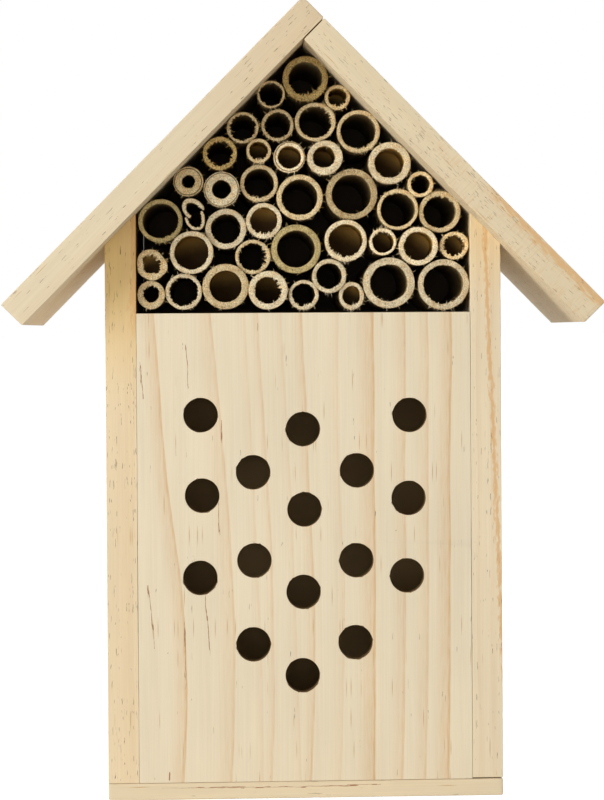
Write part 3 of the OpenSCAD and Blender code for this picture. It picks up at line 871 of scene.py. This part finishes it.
# Sawn and dried grass stems. The cut shows the fibre bundles as fine dark specks, the
# skin is smooth and darker, and the bore is lined with brown pith that swallows light.
# Real bundles are 0.4 mm apart and the grit of the cut is finer still. Both are drawn as
# coarse as they need to show.
BUNDLE_MM = (1.0, 9, 1.0)
GRIT_MM = (0.4, 3, 0.4)
PATCH_MM = 2.5
STAIN_MM = 1.82
# The skin deep in the gaps between canes is painted this light colour, as painted light.
GAP_PAINTED_LIGHT = "#BCA67C"
OPEN_PITH = "#A08A60"
# Painted light and painted shade on the wall of a closed bore, blended by lit.
LIT_PITH = "#F3C468"
SHADED_PITH = "#5E4527"
CANE_ROUGHNESS = 0.75


def cane_stuff(name, sawn, sap, skin, mottle):
    """The look of one sort of cane: its sawn face, the sap stains on it and its skin.

    mottle is how far the grit of the cut lightens and darkens it.
    """
    material, add = new_material(name)
    course = add("Attribute", {}, "Fac", attribute_name="course")
    tone = add("Attribute", {}, "Fac", attribute_name="tone")
    lit = add("Attribute", {}, "Fac", attribute_name="lit")
    place = add("TexCoord", {}, "Object")
    place = add("VectorMath", {0: place, 3: 1 / MM}, operation="SCALE")
    bundle = add("VectorMath", {0: place, 1: BUNDLE_MM}, operation="DIVIDE")
    bundle = add("TexVoronoi", {"Vector": bundle, "Scale": 1}).node.outputs
    grit = add("VectorMath", {0: place, 1: GRIT_MM}, operation="DIVIDE")
    grit = add("TexNoise", {"Vector": grit, "Scale": 1, "Detail": 2})
    patch = add("TexNoise", {"Vector": place, "Scale": 1 / PATCH_MM, "Detail": 2})
    stain = add("TexNoise", {"Vector": place, "Scale": 1 / STAIN_MM, "Detail": 3, "Distortion": 0.4})

    # The cut face, from the sap stains on it to the rim of the skin and the bore's mouth.
    sappy = add("MapRange", {0: stain, 1: 0.42, 2: 0.66, 4: 0.6})
    colour = add("Mix", {0: sappy, 6: linear(sawn), 7: linear(sap)}, 2, data_type="RGBA")
    for start, full, most in ((0.86, 1.04, 0.8), (0, -0.4, 0.5)):
        rim = add("MapRange", {0: course, 1: start, 2: full, 4: most})
        colour = add("Mix", {0: rim, 6: colour, 7: linear(skin)}, 2, data_type="RGBA")
    patchy = add("MapRange", {0: patch, 1: 0.3, 2: 0.7, 3: 0.84, 4: 1.12})
    colour = add("VectorMath", {0: colour, 3: patchy}, operation="SCALE")
    strong = add("SeparateXYZ", {0: bundle["Color"]}, "X")
    speck = add("MapRange", {0: bundle["Distance"], 1: 0.15, 2: 0.42, 3: 1, 4: 0})
    speck = add("Math", {0: speck, 1: strong}, operation="MULTIPLY")
    fleck = add("Math", {0: speck, 1: 0.6}, operation="MULTIPLY")
    colour = add("Mix", {0: fleck, 6: colour, 7: linear(skin)}, 2, data_type="RGBA")
    gritty = add("MapRange", {0: grit, 1: 0.3, 2: 0.7, 3: 0.96 - mottle, 4: 0.96 + mottle})
    colour = add("VectorMath", {0: colour, 3: gritty}, operation="SCALE")
    colour = add("VectorMath", {0: colour, 3: tone}, operation="SCALE")

    # The lining of the bore, with painted light and shade on the wall of a closed one, and the skin far
    # behind the cut, painted lighter to stand in for light in the deep gaps between canes.
    pith = add("Mix", {0: lit, 6: linear(SHADED_PITH), 7: linear(LIT_PITH)}, 2, data_type="RGBA")
    closed = add("Math", {0: lit, 1: 0.01}, operation="GREATER_THAN")
    pith = add("Mix", {0: closed, 6: linear(OPEN_PITH), 7: pith}, 2, data_type="RGBA")
    lining = add("MapRange", {0: course, 1: -0.2, 2: -1.6})
    colour = add("Mix", {0: lining, 6: colour, 7: pith}, 2, data_type="RGBA")
    behind = add("MapRange", {0: course, 1: 4, 2: 30})
    colour = add("Mix", {0: behind, 6: colour, 7: linear(GAP_PAINTED_LIGHT)}, 2, data_type="RGBA")

    height = add("Math", {0: grit, 1: speck}, operation="SUBTRACT")
    bump = add("Bump", {"Height": height, "Strength": 0.6, "Distance": 0.07 * MM})
    shader = add("BsdfPrincipled", {"Base Color": colour, "Roughness": CANE_ROUGHNESS,
                                    "Specular IOR Level": 0.2, "Normal": bump})
    add("OutputMaterial", {"Surface": shader})
    return material


STUFFS = {
    "cane_pale": cane_stuff("sawn cane, pale", "#ECDBB5", "#DDB880", "#8E7347", 0.32),
    "cane_straw": cane_stuff("sawn cane, straw", "#DBC598", "#C8A067", "#80663A", 0.38),
    "cane_olive": cane_stuff("sawn cane, olive", "#BCA976", "#A68B52", "#6E5D33", 0.45),
    "cane_tan": cane_stuff("sawn cane, tan", "#CDB688", "#B8925C", "#7A5F38", 0.45),
    "cane_brown": cane_stuff("sawn cane, brown", "#B39A63", "#A17E45", "#6A4F26", 0.6),
}

# Each cane's sort, and how it differs from a plain one. The crushed cane has its halves.
LOOKS = (
    ("cane_01", "straw", dict(tone=0.96, moved=(0.1, 0.5), fray=0.6, burr=0.25, bore_at=(0, 0.3), oval=0.05,
                              oval_at=90)),
    ("cane_02", "pale", dict(tone=0.95, moved=(0.1, 0.5), fray=0.7, hairs=5)),
    ("cane_03", "straw", dict(tone=0.9, moved=(0.1, 0.55), fray=0.2, hairs=1)),
    ("cane_04", "pale", dict(tone=0.95, moved=(0, 0.5), fray=0.9, frayed_to=10, hairs=8)),
    ("cane_05", "pale", dict(tone=0.92, moved=(0.2, 0.5), fray=0.6, frayed_to=-90, burr=0.4, hairs=4)),
    ("cane_06", "pale", dict(tone=0.91, moved=(0.1, 0.55), fray=0.5, frayed_to=-80, oval=0.12, oval_at=90)),
    ("cane_07", "pale", dict(tone=0.86, moved=(0, 0.55), fray=0.3)),
    ("cane_08", "pale", dict(tone=0.88, moved=(0.1, 0.25), fray=0.5, frayed_to=-90, hairs=5)),
    ("cane_09", "pale", dict(tone=0.86, fray=0.4, frayed_to=-60)),
    ("cane_10", "straw", dict(tone=1.15, moved=(0.1, 0.4), fray=1.0, frayed_to=45, burr=0.35, oval=0.1,
                              oval_at=120, uneven=0.7)),
    ("cane_11", "pale", dict(tone=0.93, moved=(0.15, 0.1), fray=0.3)),
    ("cane_12", "straw", dict(tone=1.06, moved=(0.1, 0), fray=1.0, frayed_to=0, hairs=12)),
    ("cane_13", "olive", dict(tone=1.05, fray=0.15, hairs=0)),
    ("cane_14", "pale", dict(tone=1.03, fray=0.7, frayed_to=-110, hairs=9)),
    ("cane_15", "pale", dict(tone=1.21, fray=0.5, frayed_to=100, burr=0.5)),
    ("cane_16", "pale", dict(tone=1.09, moved=(0, 0.4), fray=0.4)),
    ("cane_17", "straw", dict(tone=1.33, moved=(0.15, 0.15), fray=1.0, hairs=12, burr=0.2, oval=0.06)),
    ("cane_18", "olive", dict(tone=1.18, moved=(0.15, 0.2), fray=0.35, frayed_to=-55, hairs=5)),
    ("cane_19", "pale", None),
    ("cane_20", "pale", dict(tone=0.86, fray=0.35)),
    ("cane_21", "pale", dict(tone=0.95, moved=(0.1, -0.1), fray=0.6, frayed_to=-85, hairs=9)),
    ("cane_22", "straw", dict(tone=1.15, fray=0.5, frayed_to=90)),
    ("cane_23", "straw", dict(tone=1.0, moved=(0.15, 0.35), fray=0.6, frayed_to=80)),
    ("cane_24", "straw", dict(tone=1.11, fray=0.3, hairs=2)),
    ("cane_25", "tan", dict(tone=0.9, moved=(0, -0.1), fray=0.2, hairs=1)),
    ("cane_26", "pale", dict(tone=1.05, moved=(-0.1, -0.1), fray=0.2, hairs=1, layer=(0.86, 0.02, 270))),
    ("cane_27", "straw", dict(tone=1.09, moved=(0.1, 0), fray=0.5, frayed_to=-90)),
    ("cane_28", "straw", dict(tone=1.25, fray=0.4)),
    ("cane_29", "straw", dict(tone=1.05, moved=(-0.1, 0.3), fray=0.25, burr=0.15, layer=(0.8, 0.05, 200))),
    ("cane_30", "pale", dict(tone=0.92, fray=0.5, burr=0.35)),
    ("cane_31", "pale", dict(tone=0.96, moved=(-0.1, 0.2), fray=0.35, burr=0.6, bore_at=(-0.25, 0.3),
                             oval=0.05)),
    ("cane_32", "pale", dict(tone=1.31, moved=(0, 0.15), fray=0.25, hairs=2, layer=(0.72, 0.12, 45))),
    ("cane_33", "brown", dict(tone=1.52, fray=0.9, burr=0.4, hairs=9)),
    ("cane_34", "straw", dict(tone=1.24, moved=(-0.1, 0.2), fray=0.7, frayed_to=-80, hairs=5)),
    ("cane_35", "straw", dict(tone=0.99, moved=(0.15, 0.1), fray=0.6, frayed_to=-70, hairs=5)),
    ("cane_36", "straw", dict(tone=1.13, moved=(0, 0.1), fray=0.8, hairs=5)),
    ("cane_37", "straw", dict(tone=1.1, moved=(0, 0.15), fray=0.5)),
    ("cane_38", "straw", dict(tone=1.08, moved=(0.4, 0.15), fray=0.8, frayed_to=30, hairs=7, oval=0.07,
                              oval_at=0)),
    ("cane_39", "tan", dict(tone=1.26, moved=(0.1, 0.4), fray=0.7, frayed_to=-90, burr=0.3)),
    ("cane_40", "straw", dict(tone=1.07, moved=(-0.15, 0.3), fray=0.6)),
    ("cane_41", "brown", dict(tone=1.15, moved=(0, 0.4), fray=1.0, frayed_to=-70, burr=0.5, hairs=6)),
)
UPPER_HALF = [(-0.85, -0.75, 0.9), (-1.55, -0.4, 1.0), (-2.35, 0.5, 0.9), (-2.75, 1.75, 1.1),
              (-2.7, 2.95, 1.15), (-2.1, 3.8, 1.2), (-0.9, 4.0, 1.3), (0.5, 3.8, 1.2), (1.8, 2.9, 1.15),
              (2.55, 2.05, 0.9), (2.95, 1.35, 0.5)]
LOWER_HALF = [(-2.3, -0.95, 0.5), (-2.1, -1.55, 0.65), (-1.7, -2.6, 0.65), (-0.9, -3.6, 0.7),
              (0.2, -4.2, 0.8), (1.25, -4.25, 0.8), (2.05, -4.0, 0.85), (2.6, -3.3, 0.85),
              (2.85, -2.3, 0.85), (2.85, -1.1, 0.8), (2.65, 0.05, 0.75), (2.3, 0.85, 0.6)]
for name, sort, look in LOOKS:
    stem = cane(name, **look) if look else crushed_cane(name, 1.1, [UPPER_HALF, LOWER_HALF])
    stem.data.materials.append(STUFFS["cane_" + sort])
    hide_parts(name)
    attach(stem, "root")

# Roof boards. Two pine boards with their grain down the slope. The left one runs up
# over the end of the right one, and both are nailed down into the sides and the back.
ROOF_T = 8.5 * MM
RIDGE_ROUND = 2 * MM
RIDGE_SEAM = 0.3 * MM
roof_low, roof_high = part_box("roof_left")
ridge_z = roof_high.z + RIDGE_ROUND * (1 / math.cos(ROOF_PITCH) - 1)
slope_len = -roof_low.x / math.cos(ROOF_PITCH)
lean = math.cos(2 * ROOF_PITCH) / math.sin(2 * ROOF_PITCH)
lap = (ROOF_T + RIDGE_SEAM) / math.sin(2 * ROOF_PITCH)
depth = roof_high.y - roof_low.y

blunt = [(RIDGE_ROUND * (1 - math.sin(a)), 0, -RIDGE_ROUND * (1 - math.cos(a)))
         for a in (math.pi / 2 * i / 5 for i in range(6))]
left_outline = blunt[::-1] + [(slope_len, 0, 0), (slope_len, 0, -ROOF_T), (-ROOF_T * lean, 0, -ROOF_T)]
right_outline = [(lap, 0, 0), (slope_len, 0, 0), (slope_len, 0, -ROOF_T), (lap - ROOF_T * lean, 0, -ROOF_T)]
down_left = Vector((-math.cos(ROOF_PITCH), 0, -math.sin(ROOF_PITCH)))
down_right = Vector((math.cos(ROOF_PITCH), 0, -math.sin(ROOF_PITCH)))
left_pine = pine("planed pine, roof left", slope_len / MM, "#E1D0AF", "Z", rings=0.12, ring=4.5,
                 pith=(-20, -30), ducts=0.12, tint_along=(65, 5, "#DAC5A2"))
right_pine = pine("planed pine, roof right", slope_len / MM, "#E1CFAC", "Z", rings=0.12, ring=4.2,
                  pith=(-20, -34), ducts=0.34, streak=(-0.6, -1.0, 1.4, 74, 0), saw_from=45)
board("roof_left", left_outline, (0, depth, 0),
      axes((0, roof_high.y, ridge_z), down_left, -BACK, down_left.cross(-BACK)), left_pine, 0.2, 0.4)
board("roof_right", right_outline, (0, depth, 0),
      axes((0, roof_low.y, ridge_z), down_right, BACK, down_right.cross(BACK)), right_pine, 0.2, 0.4)

# Nails. Steel wire nails with flat round heads, driven until they sit just below the
# wood. Zinc plating makes them a dull grey-white with a soft, uneven shine.
NAIL_R = 0.6 * MM
NAIL_LEN = 16 * MM
NAIL_POINT = 2 * MM
NAIL_SUNK = 0.12 * MM

# The plating's own mottle is far finer than this and is drawn as coarse as it needs to show.
SPANGLE = MM / 1.2
ZINC_DULL = "#A9ABA8"
ZINC_LIGHT = "#C9CAC6"

zinc, add = new_material("zinc-plated steel wire")
place = add("TexCoord", {}, "Object")
mottle = add("TexNoise", {"Vector": place, "Scale": 1 / SPANGLE, "Detail": 3})
tone = add("Mix", {0: mottle, 6: linear(ZINC_DULL), 7: linear(ZINC_LIGHT)}, 2, data_type="RGBA")
rough = add("MapRange", {0: mottle, 3: 0.3, 4: 0.5})
shader = add("BsdfPrincipled", {"Base Color": tone, "Metallic": 1, "Roughness": rough})
add("OutputMaterial", {"Surface": shader})

for node in NAIL_NODES:
    group = bmesh.new()
    for centre, outward in nails[node]:
        bm = lathe([(0, 0), (0.7 * HEAD_R, -0.02 * MM), (0.93 * HEAD_R, -0.08 * MM), (HEAD_R, -0.22 * MM),
                    (HEAD_R, -0.5 * MM), (0.8 * HEAD_R, -HEAD_T), (NAIL_R, -HEAD_T - 0.15 * MM),
                    (NAIL_R, NAIL_POINT - NAIL_LEN), (0, -NAIL_LEN + NAIL_SUNK)], 24)
        spot = centre - outward * NAIL_SUNK
        bm.transform(Matrix.Translation(spot) @ outward.to_track_quat("Z", "Y").to_matrix().to_4x4())
        part = bpy.data.meshes.new("nail")
        bm.to_mesh(part)
        bm.free()
        group.from_mesh(part)
        bpy.data.meshes.remove(part)
    piece = new_object("zinc_" + node)
    finish_mesh(piece, group, 40)
    piece.data.materials.append(zinc)
    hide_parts(node)
    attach(piece, "root")

# Studio. The camera stands nearly square to the front, a little to the left and about as
# high as the front panel. A pale floor and a white surround leave the object's own soft
# shadow, and four round lamps shape it.

# Fitted to the photo, with the turns in degrees.
LENS_MM = 132.32
SENSOR_MM = 36
SHIFT_X = -0.1303
SHIFT_Y = -0.0314
STAND = Vector((-18.9, -888.7, 136.7)) * MM
PAN = -3.252
TILT = -0.871
ROLL = -0.336
camera = bpy.data.objects.new("camera", bpy.data.cameras.new("camera"))
bpy.context.scene.collection.objects.link(camera)
camera.data.lens = LENS_MM
camera.data.sensor_width = SENSOR_MM
camera.data.shift_x = SHIFT_X
camera.data.shift_y = SHIFT_Y
camera.data.clip_start = 0.01
turned = Matrix.Rotation(math.radians(PAN), 4, "Z") @ Matrix.Rotation(math.radians(90 + TILT), 4, "X")
turned = turned @ Matrix.Rotation(math.radians(ROLL), 4, "Z")
camera.matrix_world = Matrix.Translation(STAND) @ turned
bpy.context.scene.camera = camera


def seen_directly(add):
    """1 for a ray that shows a thing to the camera, 0 for one that gathers its light."""
    rays = add("LightPath", {}).node.outputs
    seen = add("Math", {0: rays["Is Camera Ray"], 1: rays["Is Glossy Ray"]}, operation="MAXIMUM")
    return add("Math", {0: seen, 1: rays["Is Transmission Ray"]}, operation="MAXIMUM")


# The surround shows plain white and gives about half as much light.
WHITE = (1, 1, 1, 1)
SKY = 0.49
world = bpy.data.worlds.new("white surround")
world.use_nodes = True
world.node_tree.nodes.clear()
bpy.context.scene.world = world
add = partial(add_node, world.node_tree)
strength = add("MapRange", {0: seen_directly(add), 3: SKY})
sky = add("Background", {"Color": WHITE, "Strength": strength})
add("OutputWorld", {"Surface": sky})

# Matt white paper. It is pale grey where light meets it, so that it keeps the shadow, and
# its glow brings it to plain white for the camera alone. The sheet reaches 60 m out.
PAPER_GREY = (0.8, 0.8, 0.8, 1)
PAPER_GLOW = 0.78
FLOOR_HALF = 60
FLOOR_DROP = 0.08 * MM
paper, add = new_material("white paper floor")
strength = add("Math", {0: seen_directly(add), 1: PAPER_GLOW}, operation="MULTIPLY")
matt = add("BsdfDiffuse", {"Color": PAPER_GREY})
glow = add("Emission", {"Color": WHITE, "Strength": strength})
both = add("AddShader", {0: matt, 1: glow})
add("OutputMaterial", {"Surface": both})
bm = bmesh.new()
bmesh.ops.create_grid(bm, x_segments=8, y_segments=8, size=FLOOR_HALF)
floor = new_object("floor")
bm.to_mesh(floor.data)
bm.free()
floor.data.materials.append(paper)
floor.location.z = -FLOOR_DROP

# Each lamp's place and size in metres, and its power in watts. The key and the fill shape
# the boards, the window lights the right of the bores, and the front lifts the deep gaps.
LAMP_AIM = Vector((0, 0, 0.11))
for name, spot, across, power in (
    ("key", (-1.22, -0.86, 0.3), 0.6, 12.9),
    ("fill", (1.0, -0.6, 1.1), 0.9, 2.4),
    ("window", (-0.42, -1.45, 0.02), 0.5, 3),
    ("front", (-0.03, -1.6, 0.15), 0.24, 0.45),
):
    lamp = bpy.data.objects.new(name, bpy.data.lights.new(name, "AREA"))
    lamp.data.shape = "DISK"
    lamp.data.size = across
    lamp.data.energy = power
    lamp.location = spot
    lamp.rotation_euler = (LAMP_AIM - Vector(spot)).to_track_quat("-Z", "Y").to_euler()
    bpy.context.scene.collection.objects.link(lamp)

bpy.context.scene.view_settings.view_transform = "Standard"
